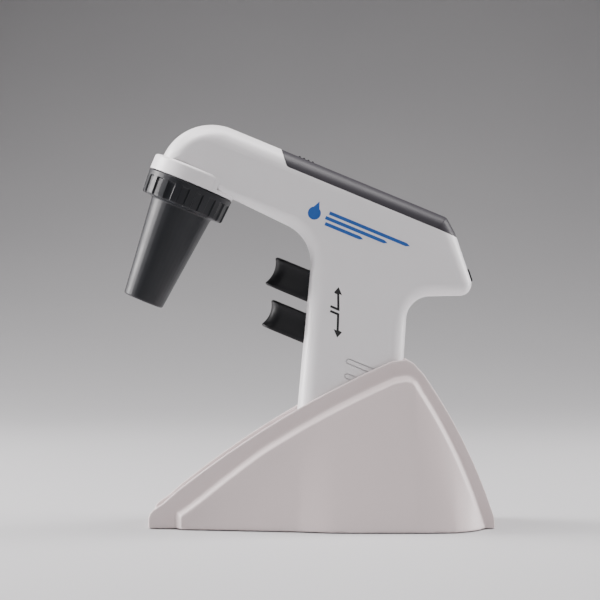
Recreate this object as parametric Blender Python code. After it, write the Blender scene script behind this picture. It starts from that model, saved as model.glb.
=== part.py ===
"""Motorized pipette controller, hung upright in its bench stand. Metres, +Z up, origin under the stand."""
import math

import bmesh
import bpy

MM = 0.001

# ---- handset frame: u runs back along the barrel, v up, y across; origin where ring and collar meet
FRAME_X, FRAME_Z = -59.15, 174.23
BARREL_TILT = 22.5
GRIP_TILT = -17.87          # handle axis against v
GAP = 0.3                   # clearance between neighbouring pieces

# ---- body
HALF_WIDTH = 18.5
WALL = 2.2
# corner u, v, fillet radius, radius of the long side edge there
BODY = [
    (-18.0, 2.06, 0.0, 11.0),
    (17.0, 2.06, 0.0, 3.0),
    (68.2, -1.15, 21.0, 5.0),
    (105.6, -121.6, 4.0, 8.0),
    (155.9, -105.4, 4.0, 8.0),
    (124.1, -10.9, 12.0, 8.0),
    (155.6, 2.8, 6.0, 6.0),
    (134.2, 27.8, 20.0, 8.0),
    (127.0, 33.8, 4.0, 8.5),
    (-18.0, 33.8, 27.0, 11.0),
]
GRIP_FOOT = (130.75, -113.5)    # middle of the handle's lower end
CAP_HEIGHT = 6.0
PANEL_LOW, PANEL_FRONT, PANEL_FRONT_TOP = 26.35, 42.6, 35.4
SCREWS = [(2.0, 19.8), (132.0, 16.0), (80.0, -8.0), (122.0, -33.0), (97.0, -60.0)]
BOSS_R, PILOT_R, SCREW_R, HEAD_R = 3.2, 1.45, 1.15, 2.8
VENT_FIRST, VENT_STEP, VENT_COUNT = (109.2, -52.9), (2.1, -7.15), 5
VENT_LENGTH, VENT_WIDTH, VENT_DEPTH = 22.0, 2.1, 0.9

# ---- nose
COLLAR_R, COLLAR_H = 22.6, 8.0
SPIGOT_R, SPIGOT_LOW, AIR_R = 12.5, -10.0, 2.5
RING_TOP_R, RING_LOW_R, RING_LOW = 22.6, 21.9, -12.9
FLUTES, FLUTE_DEPTH = 18, 0.8
CONE_TOP_R, CONE_LOW_R, CONE_LOW = 16.1, 10.5, -64.5
BORE_R = 13.6

# ---- triggers: tip u, low v, high v, face of the inner flange u
TRIGGERS = {"upper": (54.6, -32.8, -17.5, 81.4), "lower": (60.9, -53.0, -38.4, 87.7)}
TRIGGER_HALF, SCOOP, TRAVEL = 10.0, 1.8, 6.0
STEM_R, SPRING_R, SPRING_WIRE, SPRING_LENGTH = 1.4, 3.0, 0.45, 9.9

# ---- drive
MOTOR_V, MOTOR_R = 13.5, 10.0

# ---- stand (its own x, z)
STAND_X0 = -3.3             # shift of the stand's drawing
RIM_HALF, CHANNEL_HALF = 21.2, 19.0
RIM_DROP = 3.0              # the ramp lies this far under the two rims
STAND_FLOOR = 0.4           # the shell clears the bench, feet touch it
PANEL_EDGE = 25.7           # half width of the raised panel along its upper edge
RIB_WIDTH = 2.6
SIDE_WALL = 2.8


# ------------------------------------------------------------------ helpers
def clear_scene():
    for ob in list(bpy.data.objects):
        bpy.data.objects.remove(ob, do_unlink=True)


def material(name, colour, roughness, metallic=0.0):
    mat = bpy.data.materials.new(name)
    mat.use_nodes = True
    shader = mat.node_tree.nodes["Principled BSDF"]
    shader.inputs["Base Color"].default_value = (*colour, 1.0)
    shader.inputs["Roughness"].default_value = roughness
    shader.inputs["Metallic"].default_value = metallic
    return mat


def add(name, mesh, mat=None, parent=None, location=(0, 0, 0), rotation=(0, 0, 0)):
    ob = bpy.data.objects.new(name, mesh)
    bpy.context.scene.collection.objects.link(ob)
    ob.parent = parent
    ob.location = [c * MM for c in location]
    ob.rotation_euler = [math.radians(a) for a in rotation]
    if mat is None:
        ob.hide_render = True
        ob.display_type = "WIRE"
    else:
        mesh.materials.append(mat)
        mesh.shade_smooth()
        mesh.set_sharp_from_angle(angle=math.radians(32))
    return ob


def empty(name, location, tilt, parent=None):
    ob = bpy.data.objects.new(name, None)
    bpy.context.scene.collection.objects.link(ob)
    ob.parent = parent
    ob.location = [c * MM for c in location]
    ob.rotation_euler = (0, math.radians(tilt), 0)
    return ob


def loft(name, loops, ring=False):
    """Skin of closed loops; the ends are capped, or the last loop joins the first."""
    bm = bmesh.new()
    rows = [[bm.verts.new([c * MM for c in p]) for p in loop] for loop in loops]
    n = len(rows[0])
    pairs = list(zip(rows, rows[1:]))
    if ring:
        pairs.append((rows[-1], rows[0]))
    for low, high in pairs:
        for i in range(n):
            j = (i + 1) % n
            bm.faces.new((low[i], low[j], high[j], high[i]))
    if not ring:
        bm.faces.new(rows[0])
        bm.faces.new(rows[-1])
    bmesh.ops.remove_doubles(bm, verts=bm.verts, dist=1e-7)
    bmesh.ops.triangulate(bm, faces=[f for f in bm.faces if len(f.verts) == 4])
    bmesh.ops.recalc_face_normals(bm, faces=bm.faces)
    mesh = bpy.data.meshes.new(name)
    bm.to_mesh(mesh)
    bm.free()
    return mesh


def circle(r, h, n=32):
    return [(r * math.cos(2 * math.pi * i / n), r * math.sin(2 * math.pi * i / n), h) for i in range(n)]


def turned(name, profile, n=32, ring=False):
    """Profile of (radius, height) about the local z axis."""
    return loft(name, [circle(r, h, n) for r, h in profile], ring)


def block(name, x0, x1, y0, y1, z0, z1, bevel=0.0):
    bm = bmesh.new()
    bmesh.ops.create_cube(bm, size=1.0)
    for v in bm.verts:
        v.co.x = (x0 if v.co.x < 0 else x1) * MM
        v.co.y = (y0 if v.co.y < 0 else y1) * MM
        v.co.z = (z0 if v.co.z < 0 else z1) * MM
    if bevel:
        bmesh.ops.bevel(bm, geom=bm.edges, offset=bevel * MM, segments=1, affect="EDGES")
    mesh = bpy.data.meshes.new(name)
    bm.to_mesh(mesh)
    bm.free()
    return mesh


def prism(name, points, y0, y1):
    """Outline in x, z drawn out across y."""
    return loft(name, [[(x, y, z) for x, z in points] for y in (y0, y1)])


def boolean(ob, other, how="DIFFERENCE"):
    mod = ob.modifiers.new(how.lower(), "BOOLEAN")
    mod.operation = how
    mod.object = other
    mod.solver = "EXACT"


def arc(cx, cz, r, a0, a1, n):
    return [
        (
            cx + r * math.cos(math.radians(a0 + (a1 - a0) * k / n)),
            cz + r * math.sin(math.radians(a0 + (a1 - a0) * k / n)),
        )
        for k in range(n + 1)
    ]


def rounded_outline(corners):
    """Points of a polygon of (x, z, fillet radius, segments), walked anticlockwise."""
    points = []
    count = len(corners)
    for i, (x, z, r, seg) in enumerate(corners):
        ax, az = corners[i - 1][0] - x, corners[i - 1][1] - z
        bx, bz = corners[(i + 1) % count][0] - x, corners[(i + 1) % count][1] - z
        la, lb = math.hypot(ax, az), math.hypot(bx, bz)
        ax, az, bx, bz = ax / la, az / la, bx / lb, bz / lb
        if seg == 0:
            points.append((x, z))
            continue
        half = math.acos(max(-1, min(1, ax * bx + az * bz))) / 2
        r = min(r, (min(la, lb) - 0.4) * math.tan(half))
        reach = r / math.tan(half)
        mx, mz = ax + bx, az + bz
        ml = math.hypot(mx, mz)
        cx, cz = x + mx / ml * r / math.sin(half), z + mz / ml * r / math.sin(half)
        a0 = math.atan2(z + az * reach - cz, x + ax * reach - cx)
        a1 = math.atan2(z + bz * reach - cz, x + bx * reach - cx)
        turn = (a1 - a0 + math.pi) % (2 * math.pi) - math.pi
        for k in range(seg + 1):
            a = a0 + turn * k / seg
            points.append((cx + r * math.cos(a), cz + r * math.sin(a)))
    return points


def inset_corners(corners, depth_of):
    """Moves each corner inwards by depth_of(side edge radius); fillets grow or shrink to match."""
    out = []
    count = len(corners)
    for i, (x, z, r, side) in enumerate(corners):
        px, pz = x - corners[i - 1][0], z - corners[i - 1][1]
        qx, qz = corners[(i + 1) % count][0] - x, corners[(i + 1) % count][1] - z
        lp, lq = math.hypot(px, pz), math.hypot(qx, qz)
        n1, n2 = (-pz / lp, px / lp), (-qz / lq, qx / lq)
        d = depth_of(side)
        k = d / (1 + n1[0] * n2[0] + n1[1] * n2[1])
        convex = px * qz - pz * qx > 0
        radius = max(r - d, 0.35) if convex else r + d
        seg = 0 if r == 0 else (8 if r > 20 else 4)
        out.append((x + k * (n1[0] + n2[0]), z + k * (n1[1] + n2[1]), radius, seg))
    return out


def body_loops(inset, y_start, sides=4):
    """Loops of the body from y_start out to its side face, all moved in by inset."""
    loops = []
    flat = rounded_outline(inset_corners(BODY, lambda s: inset))
    loops.append([(u, y_start, v) for u, v in flat])
    for k in range(sides + 1):
        a = math.pi / 2 * k / sides

        def depth(s, a=a):
            r = max(s - inset, 0.8)
            return inset + r * (1 - math.cos(a))

        corners = inset_corners(BODY, depth)
        points = rounded_outline(corners)
        radii = []
        for (x, z, r, seg), (_, _, _, s) in zip(corners, BODY):
            radii += [max(s - inset, 0.8)] * (seg + 1)
        width = HALF_WIDTH - inset
        loops.append([(u, width - r * (1 - math.sin(a)), v) for (u, v), r in zip(points, radii)])
    return loops


def mirrored(loops):
    return [[(u, -y, v) for u, y, v in loop] for loop in loops]


def body_solid(name, inset):
    loops = body_loops(inset, 0.0)
    return loft(name, list(reversed(mirrored(loops)[1:])) + loops[1:])


def half_shell(name, side):
    """One moulded half: outer skin, split line land, inner skin."""
    outer = body_loops(0.0, GAP / 2)
    inner = body_loops(WALL, GAP / 2)
    if side < 0:
        outer, inner = mirrored(outer), mirrored(inner)
    return loft(name, list(reversed(outer)) + inner)


# ------------------------------------------------------------------ scene
clear_scene()
white = material("white_abs", (0.80, 0.81, 0.82), 0.38)
black = material("black_rubbery", (0.03, 0.03, 0.032), 0.42)
dark = material("dark_grey_abs", (0.10, 0.105, 0.11), 0.36)
gloss = material("dark_panel", (0.07, 0.075, 0.08), 0.18)
beige = material("stand_beige", (0.52, 0.47, 0.44), 0.45)
silicone = material("silicone", (0.75, 0.75, 0.72), 0.55)
steel = material("steel", (0.55, 0.55, 0.56), 0.3, 1.0)
green = material("board_green", (0.05, 0.22, 0.10), 0.5)
blue = material("cell_wrap", (0.08, 0.16, 0.35), 0.35)
rubber = material("foot_rubber", (0.05, 0.05, 0.05), 0.7)

handset = empty("handset_frame", (FRAME_X, 0, FRAME_Z), BARREL_TILT)
grip = empty("grip_frame", (GRIP_FOOT[0], 0, GRIP_FOOT[1]), GRIP_TILT, handset)

# ---- cutters shared by the body pieces
cap_line = add("cut_cap", block("cut_cap", -40, 40, -25, 25, -8, CAP_HEIGHT), parent=grip)
keep_cap = add("keep_cap", block("keep_cap", -40, 40, -25, 25, -8, CAP_HEIGHT - GAP), parent=grip)
front_slope = (PANEL_FRONT - PANEL_FRONT_TOP) / (35.0 - PANEL_LOW)


def panel_area(grow):
    low, front = PANEL_LOW - grow, PANEL_FRONT - grow * 1.2
    top_u = front - (44.0 - low) * front_slope
    return rounded_outline([(front, low, 2.5, 3), (150, low, 0, 0), (150, 44, 0, 0), (top_u, 44, 0, 0)])


window = add("cut_window", prism("cut_window", panel_area(GAP / 2), -30, 30), parent=handset)
panel_keep = add("keep_panel", prism("keep_panel", panel_area(-GAP / 2), -30, 30), parent=handset)
inner_core = add("cut_core", body_solid("cut_core", WALL), parent=handset)
neck_hole = add("cut_neck", turned("cut_neck", [(7.0, -2), (7.0, 8)]), parent=handset)
jack_spot = (148.8, 0, 10.85)
jack_hole = add("cut_jack", block("cut_jack", -7, 5, -4.6, 4.6, -3.6, 3.6), None, handset, jack_spot, (0, -41.1, 0))
slots = []
for key, (tip, low, high, flange) in TRIGGERS.items():
    cut = block("cut_slot_" + key, tip, flange + 2, -TRIGGER_HALF - GAP, TRIGGER_HALF + GAP, low - GAP, high + GAP)
    slots.append(add("cut_slot_" + key, cut, parent=handset))


def capsule(length, width, y0, y1):
    """Flat slot lying along x with round ends."""
    r = width / 2
    pts = arc(length, 0, r, -90, 90, 4) + arc(0, 0, r, 90, 270, 4)
    return [[(x, y, z) for x, z in pts] for y in (y0, y1)]


vents = []
for side in (-1, 1):
    for k in range(VENT_COUNT):
        ends = sorted((side * (HALF_WIDTH - VENT_DEPTH), side * (HALF_WIDTH + 2)))
        spot = (VENT_FIRST[0] + VENT_STEP[0] * k, 0, VENT_FIRST[1] + VENT_STEP[1] * k)
        cut = loft("cut_vent", capsule(VENT_LENGTH, VENT_WIDTH, *ends))
        vents.append((side, add("cut_vent_%d_%d" % (side, k), cut, None, handset, spot)))

# ---- the two halves of the body
for name, side in (("shell_left", -1), ("shell_right", 1)):
    shell = add(name, half_shell(name, side), white, handset)
    for k, (u, v) in enumerate(SCREWS):
        y0, y1 = sorted((side * GAP / 2, side * (HALF_WIDTH - 1.0)))
        post = turned("post", [(BOSS_R, y0), (BOSS_R, y1)], 12)
        post = add("post_%s_%d" % (name, k), post, None, handset, (u, 0, v), (-90, 0, 0))
        boolean(shell, post, "UNION")
    for k, (u, v) in enumerate(SCREWS):
        if side > 0:
            profile = [(PILOT_R, -1), (PILOT_R, 15.2), (HEAD_R + 0.4, 15.2), (HEAD_R + 0.4, 22)]
        else:
            profile = [(PILOT_R, -10), (PILOT_R, 1)]
        hole = add("hole_%s_%d" % (name, k), turned("hole", profile, 16), None, handset, (u, 0, v), (-90, 0, 0))
        boolean(shell, hole)
    for cutter in [window, cap_line, neck_hole, jack_hole] + slots + [c for s, c in vents if s == side]:
        boolean(shell, cutter)

cap = add("handle_cap", body_solid("handle_cap", 0.0), white, handset)
boolean(cap, keep_cap, "INTERSECT")
cap_hollow = add("cut_cap_hollow", block("cut_cap_hollow", -22, 22, -14, 14, 2.6, 12), parent=grip)
boolean(cap, cap_hollow)

panel = add("top_panel", body_solid("top_panel", 0.0), gloss, handset)
boolean(panel, panel_keep, "INTERSECT")
boolean(panel, inner_core)
slider_slot = add("cut_slider", block("cut_slider", 44.1, 58.5, -5.3, 5.3, 29, 38), parent=handset)
boolean(panel, slider_slot)

for k, (u, v) in enumerate(SCREWS):
    profile = [(SCREW_R, -9.0), (SCREW_R, 15.5), (HEAD_R, 15.5), (HEAD_R, 17.6)]
    screw = turned("shell_screw", profile, 16)
    add("shell_screw_%d" % (k + 1), screw, steel, handset, (u, 0, v), (-90, 0, 0))

# ---- nose block, seal, ring with cone, sleeve and filter
collar = turned("nose_collar", [(COLLAR_R, 0), (COLLAR_R, COLLAR_H - 1), (COLLAR_R - 1, COLLAR_H)], 64)
collar = add("nose_collar", collar, white, handset)
neck_half, neck_r = HALF_WIDTH + GAP, BODY[0][3] + GAP
neck_front = BODY[0][0] - GAP + neck_r
neck_plan = arc(neck_front, neck_half - neck_r, neck_r, 90, 180, 6)
neck_plan += arc(neck_front, neck_r - neck_half, neck_r, 180, 270, 6) + [(40, -neck_half), (40, neck_half)]
neck = loft("cut_neck_room", [[(x, y, z) for x, y in neck_plan] for z in (1.4, 14)])
boolean(collar, add("cut_neck_room", neck, parent=handset))
spigot = turned(
    "spigot",
    [(SPIGOT_R - 1, SPIGOT_LOW), (SPIGOT_R, SPIGOT_LOW + 1), (SPIGOT_R, -9), (11.6, -8.9), (11.6, -7.1)]
    + [(SPIGOT_R, -7.0), (SPIGOT_R, 1.0), (6.6, 1.1), (6.6, 6.2)],
    40,
)
boolean(collar, add("join_spigot", spigot, parent=handset), "UNION")
air_bore = add("cut_air", turned("cut_air", [(AIR_R, -14), (AIR_R, 9)], 20), parent=handset)
boolean(collar, air_bore)

seal = turned("nose_seal", [(12.65 + 0.7 * c, -8 + 0.7 * s) for c, s in arc(0, 0, 1, 0, 315, 7)], 32, True)
add("nose_seal", seal, black, handset)


def ring_loop(r_rib, r_gap, v):
    pts = []
    for k in range(FLUTES):
        for offset, r in ((-5.2, r_rib), (5.2, r_rib), (6.6, r_gap), (13.4, r_gap)):
            a = math.radians(k * 360 / FLUTES + offset)
            pts.append((r * math.cos(a), r * math.sin(a), v))
    return pts


def cone_r(v):
    return CONE_TOP_R + (CONE_LOW_R - CONE_TOP_R) * (v + 14.0) / (CONE_LOW + 14.0)


def inside_r(v):
    return 13.2 - 5.0 * (-v - 16.0) / 46.0


ring_r = RING_LOW_R
loops = [ring_loop(BORE_R, BORE_R, -0.3), ring_loop(RING_TOP_R - 0.4, RING_TOP_R - 0.4, -0.3)]
loops += [ring_loop(RING_TOP_R, RING_TOP_R, -0.7), ring_loop(22.45, 22.45, -3.0)]
loops += [ring_loop(22.4, 22.4 - FLUTE_DEPTH, -3.7), ring_loop(ring_r, ring_r - FLUTE_DEPTH, -11.9)]
loops += [ring_loop(ring_r - 1.0, ring_r - 1.2, RING_LOW), ring_loop(17.3, 17.3, RING_LOW - 0.3)]
loops += [ring_loop(CONE_TOP_R, CONE_TOP_R, -14.2), ring_loop(cone_r(-63.3), cone_r(-63.3), -63.3)]
loops += [ring_loop(CONE_LOW_R - 1.2, CONE_LOW_R - 1.2, CONE_LOW)]
loops += [ring_loop(inside_r(-62), inside_r(-62), CONE_LOW), ring_loop(inside_r(-62), inside_r(-62), -62)]
loops += [ring_loop(inside_r(-16), inside_r(-16), -16.0), ring_loop(BORE_R, BORE_R, -13.0)]
add("nosepiece", loft("nosepiece", loops, True), dark, handset)

sleeve_gap = 0.35
sleeve = [(inside_r(-62) - sleeve_gap, -63.8), (inside_r(-62) - sleeve_gap, -62)]
sleeve += [(inside_r(-17) - sleeve_gap, -17), (inside_r(-17) - sleeve_gap, -16.2)]
sleeve += [(4.4, -16.2), (4.4, -48), (5.2, -50), (6.2, -63.8)]
add("pipette_holder", turned("pipette_holder", sleeve, 36, True), silicone, handset)
add("membrane_filter", turned("membrane_filter", [(11.5, -15.8), (12.2, -15.2), (12.2, -13.2)], 32), white, handset)

# ---- triggers with their stems, springs and valves
for key, (tip, low, high, flange) in TRIGGERS.items():
    loops = []
    mid, half = (low + high) / 2, (high - low) / 2
    for k in range(9):
        t = -1 + 2 * k / 8
        edge = 1.1 if abs(t) == 1 else 0.0
        d = max(edge, SCOOP * (1 - (t / 0.75) ** 2)) if abs(t) < 0.75 or edge else 0.0
        w = TRIGGER_HALF - d * 0.5
        v = mid + half * t
        r = 6.5
        pts = [(x, y, v) for x, y in arc(tip + d + r, -w + r, r, 270, 180, 4)]
        pts += [(x, y, v) for x, y in arc(tip + d + r, w - r, r, 180, 90, 4)]
        pts += [(flange + 0.6, w, v), (flange + 0.6, -w, v)]
        loops.append(pts)
    trig = add("trigger_" + key, loft("trigger_" + key, loops), black, handset)
    wings = block("wings", flange, flange + 2.0, -12.5, 12.5, low - 1.6, high + 1.6)
    boolean(trig, add("join_flange_" + key, wings, parent=handset), "UNION")
    stem = turned("valve_stem_" + key, [(STEM_R, flange + 2.3), (STEM_R, flange + 21.0), (STEM_R - 0.5, flange + 21.6)], 16)
    add("valve_stem_" + key, stem, steel, handset, (0, 0, mid), (0, 90, 0))
    coil = bpy.data.curves.new("spring_" + key, "CURVE")
    coil.dimensions = "3D"
    coil.bevel_depth = SPRING_WIRE * MM
    coil.bevel_resolution = 1
    coil.use_fill_caps = True
    coil.render_resolution_u = 0
    line = coil.splines.new("POLY")
    turns, per = 4.5, 14
    total = int(turns * per)
    line.points.add(total)
    for i in range(total + 1):
        a = 2 * math.pi * i / per
        s = flange + 2.0 + 0.8 + (SPRING_LENGTH - 1.3) * i / total
        line.points[i].co = (s * MM, SPRING_R * math.cos(a) * MM, (mid + SPRING_R * math.sin(a)) * MM, 1)
    ob = bpy.data.objects.new("spring_" + key, coil)
    bpy.context.scene.collection.objects.link(ob)
    ob.parent = handset
    coil.materials.append(steel)
    front = flange + 2.0 + SPRING_LENGTH + 0.7
    valve = add("valve_body_" + key, block("valve", front, front + 20, -6.5, 6.5, mid - 5.5, mid + 5.5, 0.8), dark, handset)
    bore = turned("bore", [(STEM_R + 0.3, front - 3), (STEM_R + 0.3, front + 17)], 16)
    boolean(valve, add("bore_" + key, bore, None, handset, (0, 0, mid), (0, 90, 0)))
    micro = block("micro", flange + 9.0, flange + 20.0, 7.5, 13.0, mid - 4, mid + 4, 0.5)
    add("micro_switch_" + key, micro, black, handset)

# ---- pump drive in the barrel
can = turned("pump_motor", [(8.0, 43.5), (9.0, 43.5), (MOTOR_R, 44.5), (MOTOR_R, 76), (9.0, 77), (3.0, 77), (3.0, 78.5)], 36)
motor = add("pump_motor", can, steel, handset, (0, 0, MOTOR_V), (0, 90, 0))
shaft_hole = add("cut_shaft", turned("cut_shaft", [(1.6, 40), (1.6, 60)], 16), None, handset, (0, 0, MOTOR_V), (0, 90, 0))
boolean(motor, shaft_hole)
rotor = add(
    "motor_rotor",
    turned("motor_rotor", [(1.2, 29.2), (1.2, 59)], 16),
    steel,
    handset,
    (0, 0, MOTOR_V),
    (0, 90, 0),
)
weight = loft("weight", [[(x + 1.4, y, z) for x, y, z in circle(5.0, h, 24)] for h in (29.6, 37.0)])
boolean(rotor, add("join_weight", weight, None, handset, (0, 0, MOTOR_V), (0, 90, 0)), "UNION")
head = add("pump_head", block("pump_head", 23, 42.5, -12, 12, 4.8, 23.6, 1.2), dark, handset)
well = add("cut_well", turned("cut_well", [(7.6, 28.4), (7.6, 46)], 28), None, handset, (0, 0, MOTOR_V), (0, 90, 0))
boolean(head, well)
add("pump_cap", turned("pump_cap", [(8.5, 15.6), (9.3, 16.4), (9.3, 22.7)], 28), black, handset, (0, 0, MOTOR_V), (0, 90, 0))
manifold = add("air_manifold", block("air_manifold", -9, 9, -9, 9, 6.6, 16.0, 0.8), dark, handset)
boolean(manifold, add("cut_port", turned("cut_port", [(AIR_R, 0), (AIR_R, 11)], 20), parent=handset))


def tube(name, points, radius, parent):
    data = bpy.data.curves.new(name, "CURVE")
    data.dimensions = "3D"
    data.bevel_depth = radius * MM
    data.bevel_resolution = 2
    data.use_fill_caps = True
    data.render_resolution_u = 0
    line = data.splines.new("POLY")
    smooth = []
    for i in range(len(points) - 1):
        p0 = points[max(i - 1, 0)]
        p1, p2 = points[i], points[i + 1]
        p3 = points[min(i + 2, len(points) - 1)]
        for k in range(5):
            t = k / 5
            smooth.append(
                [
                    0.5 * (2 * b + (c - a) * t + (2 * a - 5 * b + 4 * c - d) * t * t + (3 * b - a - 3 * c + d) * t**3)
                    for a, b, c, d in zip(p0, p1, p2, p3)
                ]
            )
    smooth.append(points[-1])
    line.points.add(len(smooth) - 1)
    for point, co in zip(line.points, smooth):
        point.co = (*[c * MM for c in co], 1)
    ob = bpy.data.objects.new(name, data)
    bpy.context.scene.collection.objects.link(ob)
    ob.parent = parent
    data.materials.append(silicone)
    return ob


tube("air_tube_pump", [(9.3, 0, 12.0), (11.0, 0, 12.0), (13.5, 0, 13.0), (15.2, 0, 13.5)], 1.5, handset)
side_run = [(0, 9.5, 11), (0.3, 11.6, 10.9), (3, 13.2, 10.2), (9, 14.1, 9), (30, 14.1, 8), (60, 14.1, 6), (88, 14.0, 4), (96, 10, -6)]
tube("air_tube_valve", side_run + [(99, 4, -13), (99, 2, -19.2)], 1.4, handset)

# ---- electronics
board = add("circuit_board", block("circuit_board", 40, 122, -13, 13, 25.3, 26.9), green, handset)
add("speed_slide_base", block("speed_slide_base", 42, 61, -7, 7, 27.2, 29.4, 0.4), steel, handset)
base_cut = [(38.5, 29.8), (59.4, 29.8), (59.4, 31.2), (54.1, 31.2)]
for k in range(4):
    u = 54.1 - 2.4 * k
    base_cut += [(u, 33.8), (u - 0.4, 34.5), (u - 1.2, 34.5), (u - 1.8, 33.8)]
base_cut += [(44.5, 33.8), (44.5, 31.2), (38.5, 31.2)]
add("speed_slider", prism("speed_slider", base_cut, -5.0, 5.0), black, handset)
socket = block("charging_socket", -12.0, -3.0, -5, 5, -4.2, 4.2, 0.5)
add("charging_socket", socket, black, handset, jack_spot, (0, -41.1, 0))
bezel = [(y, z) for y, z in rounded_outline([(-4.3, -3.4, 1.2, 3), (4.3, -3.4, 1.2, 3), (4.3, 3.4, 1.2, 3), (-4.3, 3.4, 1.2, 3)])]
bezel = loft("charging_bezel", [[(x, y, z) for y, z in bezel] for x in (-2.4, 1.3)])
bezel = add("charging_bezel", bezel, black, handset, jack_spot, (0, -41.1, 0))
jack_bore = turned("jack_bore", [(2.3, -6), (2.3, 4)], 20)
boolean(bezel, add("cut_jack_bore", jack_bore, None, handset, jack_spot, (0, 48.9, 0)))
add("battery_pack", block("battery_pack", -17, 17, -13, 13, 7.0, 52, 2.5), blue, grip)
add("battery_contact", block("battery_contact", -10, 10, -6, 6, 52.4, 53.6), steel, grip)


# ------------------------------------------------------------------ bench stand
def front_z(x):
    """Front edge: one long arc up to the peak."""
    return -368.4 + math.sqrt(494.7**2 - (x - 245.7) ** 2)


def back_x(z):
    return -156.5 + math.sqrt(266.5**2 - (z + 74.65) ** 2)


def silhouette(drop):
    """Side outline, drop mm inside the rim."""
    pts = [(-76.2 + drop, -4.0), (98.0 - drop, -4.0), (98.0 - drop, STAND_FLOOR)]
    pts += [(back_x(z) - drop, z) for z in (12, 26, 40, 54, 68, 76)]
    pts += [(58.0 - drop * 0.4, 82.6 - drop), (54.6, 84.8 - drop), (50.6, 84.9 - drop)]
    pts += [(x, front_z(x) - drop) for x in (46, 36, 24, 12, 0, -12, -24, -36, -48, -60, -68)]
    pts += [(-72.6 + drop * 0.2, 10.6 - drop), (-75.4 + drop * 0.6, 8.0 - drop), (-76.2 + drop, 5.6 - drop * 0.7)]
    return pts


def rib_z(x):
    """Upper line of the rib that borders the raised panel."""
    rise = front_z(x) - 8.6 - 2.4 * max(0.0, min(1.0, (-20.0 - x) / 30.0))
    fall = -74.65 + math.sqrt(266.5**2 - (x + 162.1) ** 2)
    return max(0.0, min(rise, fall, 77.0))


def floor_half(x):
    """Half width of the raised panel where it meets the bench."""
    if x < 0:
        return 26.0 + 10.4 * (x + 62.0) / 62.0
    if x < 20:
        return 36.4 + 4.6 * math.sin(math.pi / 2 * x / 20.0)
    if x < 77:
        return 41.0
    return 41.0 - 7.0 * ((x - 77.0) / 14.8) ** 1.1


def bulge(name, inset, low):
    """Raised middle: leaning side panels with a chamfered rib, as cross sections along x."""
    loops = []
    xs = [-59.6, -56, -50, -40, -28, -14, 0, 10, 20, 30, 40, 48, 52.5, 57, 60, 65, 70, 75, 80, 84, 87, 89.2]
    if inset:
        xs = [x for x in xs if -57 < x < 87.5]
    last = len(xs) - 1
    for k, x in enumerate([xs[0] - RIB_WIDTH] * (not inset) + xs + [xs[-1] + RIB_WIDTH] * (not inset)):
        end = not inset and k in (0, last + 2)
        top = rib_z(max(-62.0, min(91.5, x)))
        top = max(top, 6.5 if x < 0 else 5.0)
        edge = top - RIB_WIDTH * 1.15 - inset
        wide = floor_half(x) - inset
        thin = PANEL_EDGE - inset
        if end:
            edge, wide, thin = top - 1.2, RIM_HALF, RIM_HALF
        head = RIM_HALF - 1.6 - inset * 0.2
        roof = top + (1.1 if not inset else -inset - 1.0)
        rise = [0.0, 0.35, 0.7, 1.0]
        sides = [(wide + (thin - wide) * s, low + (edge - low) * s) for s in rise]
        section = sides + [(head, roof)]
        loops.append([(x + STAND_X0, -y, z) for y, z in section] + [(x + STAND_X0, y, z) for y, z in reversed(section)])
    return loft(name, loops)


def shift(points):
    return [(x + STAND_X0, z) for x, z in points]


stand = add("stand_shell", prism("stand_shell", shift(silhouette(0.0)), -RIM_HALF, RIM_HALF), beige)
boolean(stand, add("join_bulge", bulge("join_bulge", 0.0, -5.0)), "UNION")
trough = [(x, z) for x, z in silhouette(RIM_DROP) if z > 4.0]
trough = shift([(99, trough[0][1] + 2)] + trough[1:-1] + [(-90, 4.0), (-90, 120), (99, 120)])
boolean(stand, add("cut_trough", prism("cut_trough", trough, -CHANNEL_HALF, CHANNEL_HALF)))
cavity = add("cut_cavity", bulge("cut_cavity", SIDE_WALL, -6.0))
pocket_walls = block("keep_pocket", -30.5, 30.5, -RIM_HALF - 0.6, RIM_HALF + 0.6, -3.3, 90)
boolean(cavity, add("keep_pocket", pocket_walls, parent=grip))
FEET = {"front_near": (-44, -20), "front_far": (-44, 20), "rear_near": (74, -30), "rear_far": (74, 30)}
for key, (x, y) in FEET.items():
    pillar = add("pillar_" + key, turned("pillar", [(7.0, -8), (7.0, 60)], 20), None, None, (x + STAND_X0, y, 0))
    boolean(cavity, pillar)
boolean(stand, cavity)
boolean(stand, add("cut_base", block("cut_base", -150, 150, -80, 80, -30, STAND_FLOOR)))
pocket = block("cut_pocket", -27.6, 27.6, 0.15 - CHANNEL_HALF, CHANNEL_HALF - 0.15, -0.3, 130)
boolean(stand, add("cut_pocket", pocket, parent=grip))
for key, (x, y) in FEET.items():
    seat = add("seat_" + key, turned("seat", [(5.2, -1), (5.2, 2.1)], 24), None, None, (x + STAND_X0, y, 0))
    boolean(stand, seat)
    foot = turned("stand_foot_" + key, [(4.6, 0), (4.9, 0.3), (4.9, 1.8)], 24)
    add("stand_foot_" + key, foot, rubber, None, (x + STAND_X0, y, 0))
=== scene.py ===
"""Motorized pipette controller on its bench stand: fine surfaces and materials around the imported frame."""
import math

import bmesh
import bpy
from mathutils import Matrix, Vector


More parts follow.
